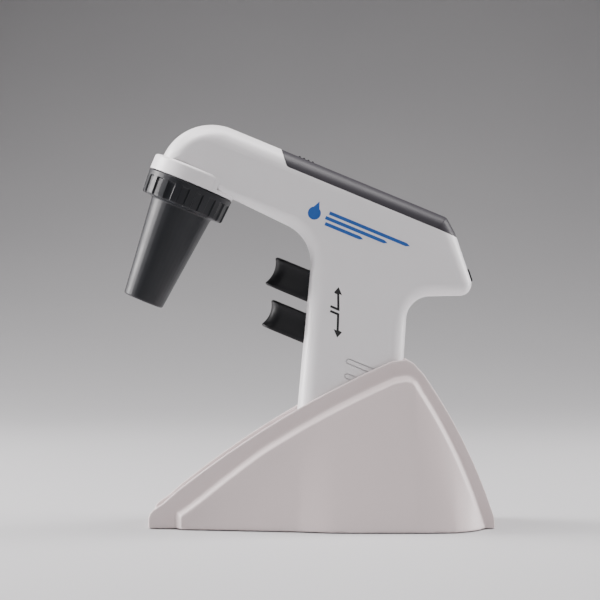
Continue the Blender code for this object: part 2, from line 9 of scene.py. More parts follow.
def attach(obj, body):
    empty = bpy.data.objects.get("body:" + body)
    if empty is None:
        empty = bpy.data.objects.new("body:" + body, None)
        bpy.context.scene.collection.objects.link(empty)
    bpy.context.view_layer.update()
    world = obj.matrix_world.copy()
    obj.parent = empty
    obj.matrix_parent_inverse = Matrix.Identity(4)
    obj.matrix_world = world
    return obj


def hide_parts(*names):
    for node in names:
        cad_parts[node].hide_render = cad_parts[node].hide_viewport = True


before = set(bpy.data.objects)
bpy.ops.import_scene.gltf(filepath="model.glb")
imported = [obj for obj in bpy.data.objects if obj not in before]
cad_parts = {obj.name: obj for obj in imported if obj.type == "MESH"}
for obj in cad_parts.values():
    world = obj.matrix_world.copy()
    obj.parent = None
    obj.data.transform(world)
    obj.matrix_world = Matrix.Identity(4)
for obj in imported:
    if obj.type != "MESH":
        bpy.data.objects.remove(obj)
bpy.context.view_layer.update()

MM = 0.001

# ---- driving dimensions (mm, degrees)
# They are those of the CAD source, apart from these, which follow the photo more closely: the long-edge
# radii at the front of the handle in BODY, the vents, and how far the bezel stands out.
# A row of BODY is u, v, fillet in the side view, radius of the long edge, segments of the fillet.
FRAME_X, FRAME_Z = -59.15, 174.23
BARREL_TILT, GRIP_TILT = 22.5, -17.87
GRIP_FOOT = (130.75, -113.5)
HALF_WIDTH, WALL, GAP = 18.5, 2.2, 0.3
SEAM = 0.09
BODY = [
    (-18.0, 2.06, 0.0, 11.0, 0),
    (17.0, 2.06, 0.0, 3.0, 0),
    (68.2, -1.15, 21.0, 8.0, 18),
    (105.6, -121.6, 4.0, 10.0, 6),
    (155.9, -105.4, 4.0, 8.0, 6),
    (124.1, -10.9, 12.0, 8.0, 16),
    (155.6, 2.8, 6.0, 6.0, 10),
    (134.2, 27.8, 20.0, 8.0, 3),
    (127.0, 33.8, 4.0, 8.5, 8),
    (-18.0, 33.8, 27.0, 11.0, 22),
]
CAP_HEIGHT = 6.0
PANEL_LOW, PANEL_FRONT, PANEL_FRONT_TOP = 26.35, 42.6, 35.4
SCREWS = [(2.0, 19.8), (132.0, 16.0), (80.0, -8.0), (122.0, -33.0), (97.0, -60.0)]
BOSS_R, PILOT_R, HEAD_R = 3.2, 1.45, 2.8
VENT_FIRST, VENT_STEP, VENT_COUNT = (108.7, -52.5), (2.1, -7.15), 5
VENT_LENGTH, VENT_WIDTH, VENT_DEPTH = 22.5, 2.9, 1.5
VENT_LINE = 0.5             # width of the dark line round the strip in each vent
COLLAR_R, COLLAR_H = 22.6, 8.0
SPIGOT_R, SPIGOT_LOW = 12.5, -10.0
THREAD_ROOT, THREAD_PITCH = SPIGOT_R - 0.9, 3.0
FLUTES, FLUTE_DEPTH = 18, 0.8
CONE_TOP_R, CONE_LOW_R, CONE_LOW = 16.1, 10.5, -64.5
BORE_R = 13.6
TRIGGERS = {"upper": (54.6, -32.8, -17.5, 81.4), "lower": (60.9, -53.0, -38.4, 87.7)}
TRIGGER_HALF, SCOOP = 10.0, 1.8
STAND_X0 = -3.3
RIM_HALF, CHANNEL_HALF, RIM_DROP = 21.2, 19.0, 3.0
STAND_FLOOR, PANEL_EDGE, RIB_WIDTH, SIDE_WALL = 0.4, 25.7, 2.6, 2.8
POCKET_HALF, POCKET_FILLET = 27.6, 5.5
FOOT_SEAT_R, FOOT_PILLAR_R = 5.2, 7.0
STAND_FEET = {
    "front_near": (-44, -20),
    "front_far": (-44, 20),
    "rear_near": (74, -30),
    "rear_far": (74, 30),
}
CREASE_X = 57.0             # foot of the faint fold that runs down from the peak
JACK = (148.8, 0.0, 10.85)
JACK_TILT = -41.1
BEZEL_HALF_Y, BEZEL_HALF_Z, BEZEL_PROUD = 4.2, 3.4, 1.6


def at(x, y, z):
    """Shift in millimetres."""
    return Matrix.Translation((x * MM, y * MM, z * MM))


def turn(degrees, axis="Y"):
    return Matrix.Rotation(math.radians(degrees), 4, axis)


WORLD = Matrix.Identity(4)
HANDSET = at(FRAME_X, 0, FRAME_Z) @ turn(BARREL_TILT)
GRIP = HANDSET @ at(GRIP_FOOT[0], 0, GRIP_FOOT[1]) @ turn(GRIP_TILT)
JACK_FRAME = at(*JACK) @ turn(JACK_TILT)


# ------------------------------------------------------------------ mesh tools
def mesh_from(name, verts, faces):
    bm = bmesh.new()
    vs = [bm.verts.new(Vector(v) * MM) for v in verts]
    for f in faces:
        bm.faces.new([vs[i] for i in f])
    bmesh.ops.remove_doubles(bm, verts=bm.verts, dist=2e-7)
    caps = [f for f in bm.faces if len(f.verts) > 24]
    bmesh.ops.triangulate(bm, faces=caps, ngon_method="EAR_CLIP")
    bmesh.ops.recalc_face_normals(bm, faces=bm.faces)
    mesh = bpy.data.meshes.new(name)
    bm.to_mesh(mesh)
    bm.free()
    return mesh


def loft(name, loops, ring=False):
    n = len(loops[0])
    verts = [p for loop in loops for p in loop]
    faces = []
    rows = len(loops)
    for r in range(rows if ring else rows - 1):
        s = (r + 1) % rows
        for i in range(n):
            j = (i + 1) % n
            faces.append((r * n + i, r * n + j, s * n + j, s * n + i))
    if not ring:
        faces.append(tuple(range(n)))
        faces.append(tuple(range((rows - 1) * n, rows * n)))
    return mesh_from(name, verts, faces)


def circle(r, h, n):
    return [(r * math.cos(2 * math.pi * i / n), r * math.sin(2 * math.pi * i / n), h) for i in range(n)]


def turned(name, profile, n=96, ring=False):
    return loft(name, [circle(r, h, n) for r, h in profile], ring)


def prism(name, points, y0, y1):
    return loft(name, [[(x, y, z) for x, z in points] for y in (y0, y1)])


def block(name, x0, x1, y0, y1, z0, z1):
    return prism(name, [(x0, z0), (x1, z0), (x1, z1), (x0, z1)], y0, y1)


def moved(mesh, matrix):
    mesh.transform(matrix)
    return mesh


def arc(cx, cz, r, a0, a1, n):
    step = (a1 - a0) / n
    angles = [math.radians(a0 + step * k) for k in range(n + 1)]
    return [(cx + r * math.cos(a), cz + r * math.sin(a)) for a in angles]


def rounded_outline(corners):
    """Polygon of (x, z, fillet, segments), walked anticlockwise."""
    runs = []
    count = len(corners)
    for i, (x, z, r, seg) in enumerate(corners):
        if seg == 0:
            runs.append([(x, z)])
            continue
        a = Vector((corners[i - 1][0] - x, corners[i - 1][1] - z))
        b = Vector((corners[(i + 1) % count][0] - x, corners[(i + 1) % count][1] - z))
        room = min(a.length, b.length) - 0.4
        a.normalize()
        b.normalize()
        half = math.acos(max(-1, min(1, a.dot(b)))) / 2
        r = min(r, room * math.tan(half))
        reach = r / math.tan(half)
        c = Vector((x, z)) + (a + b).normalized() * r / math.sin(half)
        p, q = Vector((x, z)) + a * reach - c, Vector((x, z)) + b * reach - c
        a0 = math.atan2(p.y, p.x)
        sweep = (math.atan2(q.y, q.x) - a0 + math.pi) % (2 * math.pi) - math.pi
        angles = [a0 + sweep * k / seg for k in range(seg + 1)]
        runs.append([(c.x + r * math.cos(w), c.y + r * math.sin(w)) for w in angles])
    return runs


def flat(runs):
    return [p for run in runs for p in run]


def rounded_box(x0, x1, z0, z1, r, seg):
    return flat(rounded_outline([(x0, z0, r, seg), (x1, z0, r, seg), (x1, z1, r, seg), (x0, z1, r, seg)]))


def inset_corners(depth_of):
    out = []
    count = len(BODY)
    for i, (x, z, r, side, seg) in enumerate(BODY):
        p = Vector((x - BODY[i - 1][0], z - BODY[i - 1][1]))
        q = Vector((BODY[(i + 1) % count][0] - x, BODY[(i + 1) % count][1] - z))
        n1 = Vector((-p.y, p.x)).normalized()
        n2 = Vector((-q.y, q.x)).normalized()
        d = depth_of(side)
        c = Vector((x, z)) + (n1 + n2) * d / (1 + n1.dot(n2))
        convex = p.x * q.y - p.y * q.x > 0
        out.append((c.x, c.y, max(r - d, 0.35) if convex else r + d, seg if r else 0))
    return out


def body_loops(inset, y_start, sides=12):
    """Body outline, moved in by inset: loops from the split line out to the flat side."""
    def loop_at(depth_of, width_of):
        loop = []
        for corner, run in zip(BODY, rounded_outline(inset_corners(depth_of))):
            edge = max(corner[3] - inset, 0.8)
            loop += [(u, width_of(edge), v) for u, v in run]
        return loop

    loops = [loop_at(lambda radius: inset, lambda edge: y_start)]
    width = HALF_WIDTH - inset
    for k in range(sides + 1):
        a = math.pi / 2 * k / sides
        depth_of = lambda radius: inset + max(radius - inset, 0.8) * (1 - math.cos(a))
        loops.append(loop_at(depth_of, lambda edge: width - edge * (1 - math.sin(a))))
    return loops


def mirrored(loops):
    return [[(u, -y, v) for u, y, v in loop] for loop in loops]


def body_solid(name, inset):
    loops = body_loops(inset, 0.0)
    return loft(name, list(reversed(mirrored(loops)[1:])) + loops[1:])


def half_shell(name, side):
    outer, inner = body_loops(0.0, SEAM), body_loops(WALL, SEAM, 4)
    if side < 0:
        outer, inner = mirrored(outer), mirrored(inner)
    return loft(name, list(reversed(outer)) + inner)


# ------------------------------------------------------------------ object tools
def place(name, mesh, matrix=HANDSET):
    ob = bpy.data.objects.new(name, mesh)
    bpy.context.scene.collection.objects.link(ob)
    ob.matrix_world = matrix
    return ob


def settle(ob):
    """Keeps what the modifiers make as the object's own mesh."""
    graph = bpy.context.evaluated_depsgraph_get()
    mesh = bpy.data.meshes.new_from_object(ob.evaluated_get(graph))
    old = ob.data
    ob.modifiers.clear()
    ob.data = mesh
    bpy.data.meshes.remove(old)
    return ob


def combine(ob, meshes, how="DIFFERENCE"):
    """Cuts or joins meshes given in the object's own coordinates."""
    tools = []
    for mesh in meshes:
        tool = place("tool", mesh, ob.matrix_world)
        tools.append(tool)
        mod = ob.modifiers.new("cut", "BOOLEAN")
        mod.operation = how
        mod.solver = "EXACT"
        mod.object = tool
    bpy.context.view_layer.update()
    settle(ob)
    for tool in tools:
        mesh = tool.data
        bpy.data.objects.remove(tool)
        bpy.data.meshes.remove(mesh)
    return ob


def finish_edges(ob, width=0.25, angle=40, segments=2):
    """Welds loose ends that the Booleans leave, then rounds the edges a little."""
    bm = bmesh.new()
    bm.from_mesh(ob.data)
    bmesh.ops.remove_doubles(bm, verts=bm.verts, dist=2e-6)
    bmesh.ops.dissolve_degenerate(bm, edges=bm.edges, dist=2e-6)
    bm.to_mesh(ob.data)
    bm.free()
    if width:
        mod = ob.modifiers.new("edge", "BEVEL")
        mod.width = width * MM
        mod.segments = segments
        mod.limit_method = "ANGLE"
        mod.angle_limit = math.radians(angle)
        mod.use_clamp_overlap = True
        mod.miter_outer = "MITER_ARC"
        mod.harden_normals = False
    return ob


def smooth(ob, angle=35, weighted=True):
    ob.data.shade_smooth()
    ob.data.set_sharp_from_angle(angle=math.radians(angle))
    if weighted:
        mod = ob.modifiers.new("normals", "WEIGHTED_NORMAL")
        mod.keep_sharp = True
        mod.weight = 60
    return ob


def dress(ob, mat, body, slot, *nodes):
    ob.data.transform(ob.matrix_world)
    ob.matrix_world = WORLD
    ob.data.materials.clear()
    ob.data.materials.append(mat)
    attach(ob, body)
    if nodes:
        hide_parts(*nodes)
    return ob


# ------------------------------------------------------------------ materials
def new_material(name):
    mat = bpy.data.materials.new(name)
    mat.use_nodes = True
    nodes, links = mat.node_tree.nodes, mat.node_tree.links
    return mat, nodes, links, nodes["Principled BSDF"]


def noise(nodes, links, coord, scale, detail=3.0, rough=0.5):
    tex = nodes.new("ShaderNodeTexNoise")
    tex.inputs["Scale"].default_value = scale
    tex.inputs["Detail"].default_value = detail
    tex.inputs["Roughness"].default_value = rough
    links.new(coord, tex.inputs["Vector"])
    return tex.outputs["Fac"]


def ramp(nodes, links, value, stops):
    r = nodes.new("ShaderNodeValToRGB")
    els = r.color_ramp.elements
    els[0].position, els[0].color = stops[0][0], (*stops[0][1], 1)
    els[1].position, els[1].color = stops[-1][0], (*stops[-1][1], 1)
    for pos, col in stops[1:-1]:
        e = els.new(pos)
        e.color = (*col, 1)
    links.new(value, r.inputs["Fac"])
    return r.outputs["Color"]


def spread(nodes, links, value, low, high):
    m = nodes.new("ShaderNodeMapRange")
    m.inputs["From Min"].default_value = 0.3
    m.inputs["From Max"].default_value = 0.7
    m.inputs["To Min"].default_value = low
    m.inputs["To Max"].default_value = high
    links.new(value, m.inputs["Value"])
    return m.outputs["Result"]


def tone(colour, k):
    return tuple(max(0.0, min(1.0, c * k)) for c in colour)


def moulded(name, colour, rough, grain=1600, depth=0.02, vary=0.04, rough_vary=0.05,
            coat=0.0, tint=None, shine=0.5):
    """Moulded plastic: faint flow marks in the colour, fine spark-eroded grain, uneven gloss."""
    mat, nodes, links, bsdf = new_material(name)
    coord = nodes.new("ShaderNodeTexCoord").outputs["Object"]
    flow = noise(nodes, links, coord, 28, 4.0, 0.55)
    stops = [(0.3, tint or tone(colour, 1 - vary)), (0.7, tone(colour, 1 + vary * 0.5))]
    links.new(ramp(nodes, links, flow, stops), bsdf.inputs["Base Color"])
    patch = noise(nodes, links, coord, 90, 5.0, 0.6)
    links.new(spread(nodes, links, patch, rough - rough_vary, rough + rough_vary), bsdf.inputs["Roughness"])
    fine = noise(nodes, links, coord, grain, 2.0, 0.5)
    bump = nodes.new("ShaderNodeBump")
    bump.inputs["Strength"].default_value = 0.35
    bump.inputs["Distance"].default_value = depth * MM
    links.new(fine, bump.inputs["Height"])
    links.new(bump.outputs["Normal"], bsdf.inputs["Normal"])
    bsdf.inputs["Specular IOR Level"].default_value = shine
    bsdf.inputs["Coat Weight"].default_value = coat
    bsdf.inputs["Coat Roughness"].default_value = 0.12
    return mat


def rubbery(name, colour, rough, grain=2200):
    mat = moulded(name, colour, rough, grain, 0.03, 0.12, 0.06)
    bsdf = mat.node_tree.nodes["Principled BSDF"]
    bsdf.inputs["Specular IOR Level"].default_value = 0.35
    bsdf.inputs["Sheen Weight"].default_value = 0.08
    bsdf.inputs["Sheen Roughness"].default_value = 0.5
    return mat


def turned_metal(name, colour, rough):
    mat, nodes, links, bsdf = new_material(name)
    coord = nodes.new("ShaderNodeTexCoord").outputs["Object"]
    stretch = nodes.new("ShaderNodeMapping")
    stretch.inputs["Scale"].default_value = (1.0, 12.0, 12.0)
    links.new(coord, stretch.inputs["Vector"])
    lines = noise(nodes, links, stretch.outputs["Vector"], 260, 4.0, 0.6)
    stops = [(0.3, tone(colour, 0.86)), (0.7, tone(colour, 1.06))]
    links.new(ramp(nodes, links, lines, stops), bsdf.inputs["Base Color"])
    links.new(spread(nodes, links, lines, rough - 0.07, rough + 0.09), bsdf.inputs["Roughness"])
    bump = nodes.new("ShaderNodeBump")
    bump.inputs["Strength"].default_value = 0.3
    bump.inputs["Distance"].default_value = 0.01 * MM
    links.new(lines, bump.inputs["Height"])
    links.new(bump.outputs["Normal"], bsdf.inputs["Normal"])
    bsdf.inputs["Metallic"].default_value = 1.0
    return mat


def clear_silicone(name, colour):
    mat = moulded(name, colour, 0.42, 900, 0.02, 0.05, 0.08)
    bsdf = mat.node_tree.nodes["Principled BSDF"]
    bsdf.inputs["Subsurface Weight"].default_value = 0.35
    bsdf.inputs["Subsurface Radius"].default_value = (0.003, 0.003, 0.0025)
    return mat


def board_green(name):
    mat, nodes, links, bsdf = new_material(name)
    coord = nodes.new("ShaderNodeTexCoord").outputs["Object"]
    cell = nodes.new("ShaderNodeTexBrick")
    cell.inputs["Scale"].default_value = 260
    cell.inputs["Mortar Size"].default_value = 0.03
    cell.inputs["Color1"].default_value = (0.012, 0.10, 0.045, 1)
    cell.inputs["Color2"].default_value = (0.016, 0.13, 0.055, 1)
    cell.inputs["Mortar"].default_value = (0.03, 0.20, 0.085, 1)
    links.new(coord, cell.inputs["Vector"])
    links.new(cell.outputs["Color"], bsdf.inputs["Base Color"])
    patch = noise(nodes, links, coord, 120)
    links.new(spread(nodes, links, patch, 0.28, 0.42), bsdf.inputs["Roughness"])
    return mat


WHITE = moulded(
    "abs_white", (0.87, 0.855, 0.865), 0.36, grain=2200, depth=0.012, vary=0.012, rough_vary=0.04,
    tint=(0.85, 0.835, 0.845),
)
STAND = moulded(
    "stand_warm_grey", (0.73, 0.635, 0.630), 0.40, grain=1300, depth=0.03, vary=0.02, rough_vary=0.05,
    tint=(0.715, 0.622, 0.617),
)
DARK = moulded("abs_dark_grey", (0.010, 0.0115, 0.0145), 0.44, grain=1900, vary=0.10, shine=0.36)
GLOSS = moulded(
    "panel_dark_grey", (0.036, 0.034, 0.041), 0.44,
    grain=1500, depth=0.006, vary=0.03, rough_vary=0.015, shine=0.34,
)
BLACK = moulded(
    "trigger_black", (0.0045, 0.005, 0.0065), 0.46,
    grain=2000, depth=0.015, vary=0.12, shine=0.3,
)
RUBBER = rubbery("rubber_black", (0.02, 0.02, 0.021), 0.62)
SILICONE = clear_silicone("silicone_milky", (0.72, 0.73, 0.70))
STEEL = turned_metal("steel_turned", (0.56, 0.56, 0.57), 0.30)
BRASS = turned_metal("contact_nickel", (0.66, 0.62, 0.52), 0.32)
BOARD = board_green("board_solder_mask")
WRAP = moulded("cell_wrap_blue", (0.06, 0.15, 0.36), 0.28, grain=400, vary=0.08, rough_vary=0.06, coat=0.4)
PRINT_BLACK = moulded("ink_black", (0.004, 0.004, 0.005), 0.55, grain=2600, depth=0.004, vary=0.15)
PRINT_BLUE = moulded("ink_blue", (0.0, 0.095, 0.42), 0.42, grain=2600, depth=0.004, vary=0.06)


# ------------------------------------------------------------------ body halves
def panel_area(grow):
    """Outline over the rear of the barrel, open at the top, with a sloping front end."""
    slope = (PANEL_FRONT - PANEL_FRONT_TOP) / (35.0 - PANEL_LOW)
    low, front = PANEL_LOW - grow, PANEL_FRONT - grow * 1.2
    high, rear = 44, 150
    top_front = front - (high - low) * slope
    corners = [(front, low, 2.6, 8), (rear, low, 0, 0), (rear, high, 0, 0), (top_front, high, 0, 0)]
    return flat(rounded_outline(corners))


def in_grip(mesh):
    return moved(mesh, HANDSET.inverted() @ GRIP)


def capsule(length, width, y0, y1):
    r = width / 2
    pts = arc(length, 0, r, -90, 90, 10) + arc(0, 0, r, 90, 270, 10)
    return [[(x, y, z) for x, z in pts] for y in (y0, y1)]


def across(mesh, u, v):
    """Turns a mesh whose axis is local z to lie along y at u, v."""
    return moved(mesh, at(u, 0, v) @ turn(-90, "X"))


def along_x(mesh):
    """Turns a mesh whose axis is local z to point along local x."""
    return moved(mesh, turn(90))


def trigger_slot(key):
    tip, low, high, flange = TRIGGERS[key]
    g = GAP - 0.02
    w = TRIGGER_HALF + g
    ring = rounded_box(-w, w, low - g, high + g, 1.3, 4)
    return loft("slot", [[(x, y, z) for y, z in ring] for x in (tip, flange + 2)])


for name, side, node in (("body_half_left", -1, "shell_left"), ("body_half_right", 1, "shell_right")):
    shell = place(name, half_shell(name, side))
    y0, y1 = sorted((side * SEAM, side * (HALF_WIDTH - 1.0)))
    posts = [across(turned("post", [(BOSS_R, y0), (BOSS_R, y1)], 24), u, v) for u, v in SCREWS]
    combine(shell, posts, "UNION")
    if side > 0:
        profile = [(PILOT_R, -1), (PILOT_R, 15.2), (HEAD_R + 0.2, 15.2), (HEAD_R + 0.2, 22)]
    else:
        profile = [(PILOT_R, -10), (PILOT_R, 1)]
    combine(shell, [across(turned("hole", profile, 40), u, v) for u, v in SCREWS])
    cuts = [prism("window", panel_area(0.14), -30, 30)]
    cuts.append(in_grip(block("cap_line", -40, 40, -25, 25, -8, CAP_HEIGHT)))
    cuts.append(turned("neck", [(7.0, -2), (7.0, 8)], 64))
    half_y, half_z = BEZEL_HALF_Y + 0.3, BEZEL_HALF_Z + 0.2
    jack = rounded_box(-half_y, half_y, -half_z, half_z, 1.4, 6)
    cuts.append(moved(loft("jack", [[(x, y, z) for y, z in jack] for x in (-7, 5)]), JACK_FRAME))
    cuts += [trigger_slot(key) for key in TRIGGERS]
    strips = []
    for k in range(VENT_COUNT):
        spot = at(VENT_FIRST[0] + VENT_STEP[0] * k, 0, VENT_FIRST[1] + VENT_STEP[1] * k)
        ends = sorted((side * (HALF_WIDTH - VENT_DEPTH), side * (HALF_WIDTH + 2)))
        cuts.append(moved(loft("groove", capsule(VENT_LENGTH, VENT_WIDTH, *ends)), spot))
        ends = sorted((side * (HALF_WIDTH - VENT_DEPTH - 0.4), side * (HALF_WIDTH - 0.12)))
        strips.append(moved(loft("strip", capsule(VENT_LENGTH, VENT_WIDTH - 2 * VENT_LINE, *ends)), spot))
    combine(shell, cuts)
    combine(shell, strips, "UNION")
    finish_edges(shell, 0.12, 50, 2)
    smooth(shell)
    dress(shell, WHITE, "handset", "white_abs", node)

cap = place("handle_end_cap", body_solid("handle_end_cap", 0.0))
combine(cap, [in_grip(block("keep", -40, 40, -25, 25, -8, CAP_HEIGHT - 0.16))], "INTERSECT")
combine(cap, [in_grip(block("hollow", -22, 22, -14, 14, 2.6, 12))])
smooth(finish_edges(cap, 0.18, 50, 2))
dress(cap, WHITE, "handset", "white_abs", "handle_cap")

panel = place("panel_cover", body_solid("panel_cover", 0.0))
combine(panel, [prism("keep", panel_area(-0.02), -30, 30)], "INTERSECT")
slider_slot = rounded_box(44.1, 58.5, -5.3, 5.3, 0.9, 5)
slot = loft("slot", [[(x, y, z) for x, y in slider_slot] for z in (29, 38)])
combine(panel, [body_solid("core", WALL), slot])
smooth(finish_edges(panel, 0), 30)
dress(panel, GLOSS, "handset", "panel_gloss", "top_panel")

# ------------------------------------------------------------------ nose block with its thread
profile = [(2.6, 0.0), (COLLAR_R - 0.35, 0.0), (COLLAR_R - 0.1, 0.1), (COLLAR_R, 0.35)]
profile += arc(COLLAR_R - 1.6, COLLAR_H - 1.6, 1.6, 0, 90, 8) + [(2.6, COLLAR_H)]
collar = place("nose_block", turned("nose_block", profile, 144, True))
neck_half, neck_r = HALF_WIDTH + 0.12, BODY[0][3] + 0.12
neck_front = BODY[0][0] - 0.12 + neck_r
plan = arc(neck_front, neck_half - neck_r, neck_r, 90, 180, 16)
plan += arc(neck_front, neck_r - neck_half, neck_r, 180, 270, 16) + [(40, -neck_half), (40, neck_half)]
combine(collar, [loft("room", [[(x, y, z) for x, y in plan] for z in (1.98, 14)])])
pad_top = COLLAR_H - 0.05
pad_corners = [(8.0, 0.5, 0, 0), (14.3, 0.5, 0, 0), (14.3, pad_top, 1.6, 8), (8.0, pad_top, 0, 0)]
pad = flat(rounded_outline(pad_corners))
pads = [prism("pad", pad, -neck_half - 0.55, -neck_half), prism("pad", pad, neck_half, neck_half + 0.55)]
combine(collar, pads, "UNION")
smooth(finish_edges(collar, 0.12, 50, 2))
dress(collar, WHITE, "handset", "white_abs", "nose_collar")

spigot = [(2.5, SPIGOT_LOW), (SPIGOT_R - 2.4, SPIGOT_LOW), (SPIGOT_R - 1.6, SPIGOT_LOW + 0.8)]
spigot += [(THREAD_ROOT - 0.1, -9.2)] + [(THREAD_ROOT, v) for v in (-8.9, -8.8, -7.2, -7.1, 0.6)]
spigot += [(6.6, 0.8), (6.6, 6.0), (6.3, 6.2), (2.5, 6.2)]
spigot = place("nose_spigot", turned("nose_spigot", spigot, 96, True))
smooth(finish_edges(spigot, 0))
dress(spigot, WHITE, "handset", "white_abs")


def helix_ridge(name, r, v0, v1, height, half_foot, half_crest, flip=1):
    """One start of thread, its ends faded out; flip -1 points it inwards."""
    loops = []
    per = 48
    total = int(per * abs(v1 - v0) / THREAD_PITCH)
    for i in range(total + 1):
        a = 2 * math.pi * i / per
        v = v0 + (v1 - v0) * i / total
        k = min(1.0, 4.0 * i / per + 0.05, 4.0 * (total - i) / per + 0.05)
        crest = height * k
        section = [(-0.35, -half_foot), (crest, -half_crest), (crest, half_crest), (-0.35, half_foot)]
        radii = [(r + flip * x, z) for x, z in section]
        loops.append([(c * math.cos(a), c * math.sin(a), v + z) for c, z in radii])
    return loft(name, loops)


thread = place("spigot_thread", helix_ridge("spigot_thread", THREAD_ROOT, -6.0, -0.9, 0.95, 0.85, 0.4))
smooth(thread, 30)
dress(thread, WHITE, "handset", "white_abs")


# ------------------------------------------------------------------ fluted ring with cone
# one rib and one gap round the ring: share of the pitch, and height there from gap (0) to crest (1)
RIB_STEPS = [0.0, 0.015, 0.04, 0.25, 0.46, 0.485, 0.5, 0.515, 0.54, 0.75, 0.96, 0.985]
RIB_LEVEL = [0.5, 0.85, 1.0, 1.0, 1.0, 0.85, 0.5, 0.15, 0.0, 0.0, 0.0, 0.15]


def rib_ring(r_rib, r_gap, v):
    """Ring of flat ribs with rounded shoulders."""
    pts = []
    for k in range(FLUTES):
        for t, level in zip(RIB_STEPS, RIB_LEVEL):
            a = math.radians((k + t - 0.25) * 360 / FLUTES)
            r = r_gap + (r_rib - r_gap) * level
            pts.append((r * math.cos(a), r * math.sin(a), v))
    return pts


def cone_r(v):
    return CONE_TOP_R + (CONE_LOW_R - CONE_TOP_R) * (v + 14.0) / (CONE_LOW + 14.0)


def inside_r(v):
    return 13.2 - 5.0 * (-v - 16.0) / 46.0


def plain_ring(r, v):
    return rib_ring(r, r, v)


loops = [plain_ring(BORE_R, -0.6), plain_ring(BORE_R + 0.3, -0.3), plain_ring(21.9, -0.25)]
loops += [plain_ring(x, z) for x, z in reversed(arc(21.9, -0.95, 0.7, 0, 90, 5)[:-1])]
loops += [plain_ring(22.5, -2.0), plain_ring(22.47, -2.75), plain_ring(22.42, -2.95)]
for s, v in ((0.15, -3.05), (0.5, -3.25), (0.85, -3.5), (1.0, -3.8)):
    loops.append(rib_ring(22.42, 22.42 - FLUTE_DEPTH * s, v))
for k in range(1, 5):
    v = -3.8 - 7.8 * k / 4
    r = 22.42 - 0.5 * k / 4
    loops.append(rib_ring(r, r - FLUTE_DEPTH, v))
for a in (25, 50, 75, 90):
    d = 1.1 * (1 - math.cos(math.radians(a)))
    z = -11.6 - 1.1 * math.sin(math.radians(a))
    loops.append(rib_ring(21.92 - d, 21.12 - d * 0.6, z))
loops += [plain_ring(20.0, -12.8), plain_ring(18.2, -12.85), plain_ring(17.4, -12.95)]
loops += [plain_ring(x, z) for x, z in arc(17.4, -14.25, 1.3, 100, 180, 5)]
loops += [plain_ring(cone_r(v), v) for v in (-15.5, -25, -35, -45, -55, -62.4)]
lip_r = cone_r(-63.0) - 1.3
for a in (0.25, 0.6, 0.95, 1.3, 1.57):
    loops.append(plain_ring(lip_r + 1.3 * math.cos(a), -63.2 - 1.3 * math.sin(a)))
mouth_r = inside_r(-62)
loops += [plain_ring(mouth_r + r, v) for r, v in ((0.4, CONE_LOW), (0.05, -64.2), (0.0, -63.6))]
loops += [plain_ring(inside_r(v), v) for v in (-62, -40, -16)]
loops.append(plain_ring(BORE_R, -13.0))
cone = place("nose_ring_cone", loft("nose_ring_cone", loops, True))
smooth(cone, 28)
dress(cone, DARK, "nosepiece", "dark_abs", "nosepiece")

bore_thread = place("bore_thread", helix_ridge("bore_thread", BORE_R, -11.4, -1.4, 0.75, 0.75, 0.35, -1))
smooth(bore_thread, 30)
dress(bore_thread, DARK, "nosepiece", "dark_abs")

sleeve = [(mouth_r - 0.3, -63.2), (mouth_r - 0.25, -62)]
sleeve += [(inside_r(-40) - 0.25, -40), (inside_r(-17) - 0.3, -17)]
sleeve += [(inside_r(-17) - 0.8, -16.2), (4.9, -16.2), (4.4, -16.7), (4.4, -46)]
for k in range(4):
    r, v = 4.35 + 0.38 * k, -48.0 - 3.6 * k
    sleeve += [(r + 0.25, v), (r, v - 0.7), (r, v - 1.2), (r + 0.4, v - 1.9)]
sleeve += [(6.1, -62.6), (6.5, -63.4), (6.9, -63.8), (mouth_r - 0.9, -63.8)]
sleeve = place("silicone_sleeve", turned("silicone_sleeve", sleeve, 96, True))
smooth(sleeve, 40)
dress(sleeve, SILICONE, "nose_carriage", "silicone", "pipette_holder")


# ------------------------------------------------------------------ triggers
def trigger_loops(tip, low, high, flange):
    """Level slices of a finger pad: rounded front corners, rounded lips and a scoop for the finger."""
    mid, half = (low + high) / 2, (high - low) / 2
    corner, lip_r, scoop_share, levels = 6.5, 1.3, 0.84, 30
    loops = []
    for k in range(levels + 1):
        t = math.sin(math.pi / 2 * (-1 + 2 * k / levels))
        v = mid + half * t
        lip = min(1.0, (1 - abs(t)) * half / lip_r)
        edge = lip_r * (1 - math.sqrt(max(0.0, 1 - (1 - lip) ** 2)))
        hollow = SCOOP * max(0.0, 1 - (t / scoop_share) ** 2) ** 0.9 if abs(t) < scoop_share else 0.0
        w = TRIGGER_HALF - edge * 0.6 - hollow * 0.5
        front = tip + edge + hollow + corner
        reach = flange + 0.6 - front
        pts = arc(front, corner - w, corner, 270, 180, 12) + arc(front, w - corner, corner, 180, 90, 12)
        pts += [(front + reach * share, w) for share in (0.33, 0.66, 1.0)]
        pts += [(front + reach * share, -w) for share in (1.0, 0.66, 0.33)]
        loops.append([(x, y, v) for x, y in pts])
    return loops


for key, (tip, low, high, flange) in TRIGGERS.items():
    name = "trigger_pad_" + key
    trig = place(name, loft(name, trigger_loops(tip, low, high, flange)))
    wings = block("wings", flange, flange + 2.0, -12.5, 12.5, low - 1.6, high + 1.6)
    combine(trig, [wings], "UNION")
    smooth(finish_edges(trig, 0), 50)
    dress(trig, BLACK, "trigger_" + key, "black_plastic", "trigger_" + key)

